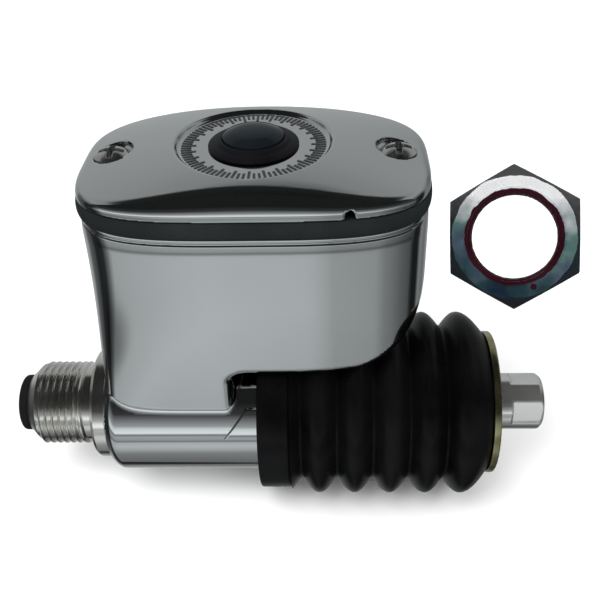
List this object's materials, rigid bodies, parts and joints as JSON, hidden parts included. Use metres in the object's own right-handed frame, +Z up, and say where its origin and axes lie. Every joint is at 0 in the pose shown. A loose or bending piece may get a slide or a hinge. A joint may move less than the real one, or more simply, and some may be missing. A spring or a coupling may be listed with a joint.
{
  "type": "motorcycle rear brake master cylinder",
  "caption": "Chromed reservoir and barrel in one casting, domed cover with sight glass, threaded nose, bellows boot and pushrod, with its loose mounting nut.",
  "frame": {"origin": "on the flange face that seats on the bracket, in the middle of its width, straight below the bore axis; the bore axis is at z = 12.2 mm", "axes": "+X along the bore towards the pushrod, +Z up towards the reservoir cover, -Y towards the side with the vent notch"},
  "size_m": [0.142, 0.06, 0.0994],
  "materials": {
    "chrome": "polished chrome plate",
    "gasket_rubber": "satin moulded rubber",
    "boot_rubber": "matte moulded rubber",
    "seal_rubber": "smooth rubber",
    "sight_lens": "polished dark window",
    "screw_steel": "chromed steel",
    "machined_aluminium": "turned, bare",
    "spring_steel": "drawn wire",
    "zinc_steel": "zinc plated, machined",
    "yellow_zinc": "yellow zinc plated",
    "nut_zinc": "clear zinc plated with thread lock on the thread",
    "plug_plastic": "moulded plastic"
  },
  "bodies": {
    "cylinder": {"reservoir_body": "chrome", "cover_gasket": "gasket_rubber", "cartridge_body": "machined_aluminium", "cartridge_o_ring_front": "seal_rubber", "cartridge_o_ring_rear": "seal_rubber", "cartridge_retaining_ring": "spring_steel", "piston_return_spring": "spring_steel", "piston_stop_washer": "spring_steel", "piston_snap_ring": "spring_steel", "dust_boot": "boot_rubber", "pushrod_spring": "spring_steel"},
    "plunger": {"piston": "machined_aluminium", "primary_cup": "seal_rubber", "secondary_cup": "seal_rubber", "boot_washer": "yellow_zinc"},
    "rod": {"pushrod": "zinc_steel"},
    "cover": {"reservoir_cover": "chrome", "sight_glass": "sight_lens", "sight_glass_grommet": "seal_rubber"},
    "left_screw": {"cover_screw_left": "screw_steel"},
    "right_screw": {"cover_screw_right": "screw_steel"},
    "plug": {"port_plug": "plug_plastic"},
    "nut": {"mounting_nut": "nut_zinc"}
  },
  "joints": [
    {"name": "piston_stroke", "type": "slide", "parent": "cylinder", "child": "plunger", "axis": [-1, 0, 0], "range_m": [0, 0.014], "stiffness_N_per_m": 1200, "springref_m": -0.02, "deforming": ["dust_boot", "pushrod_spring", "piston_return_spring"]},
    {"name": "pushrod_turn", "type": "hinge", "parent": "plunger", "child": "rod", "pos_m": [0.0382, 0, 0.0122], "axis": [1, 0, 0], "continuous": true},
    {"name": "cover_lift", "type": "slide", "parent": "cylinder", "child": "cover", "axis": [0, 0, 1], "range_m": [0, 0.03]},
    {"name": "left_screw_turn", "type": "hinge", "parent": "cover", "child": "left_screw", "pos_m": [0.01145, 0.0097, 0.0814], "axis": [0, 0, 1], "continuous": true},
    {"name": "right_screw_turn", "type": "hinge", "parent": "cover", "child": "right_screw", "pos_m": [0.07875, 0.0097, 0.0814], "axis": [0, 0, 1], "continuous": true},
    {"name": "plug_pull", "type": "slide", "parent": "cylinder", "child": "plug", "axis": [-1, 0, 0], "range_m": [0, 0.012]},
    {"name": "nut_turn", "type": "hinge", "parent": "cylinder", "child": "nut", "pos_m": [0.1053, -0.0017, 0.0651], "axis": [-0.2096, -0.8286, 0.5191], "continuous": true}
  ]
}
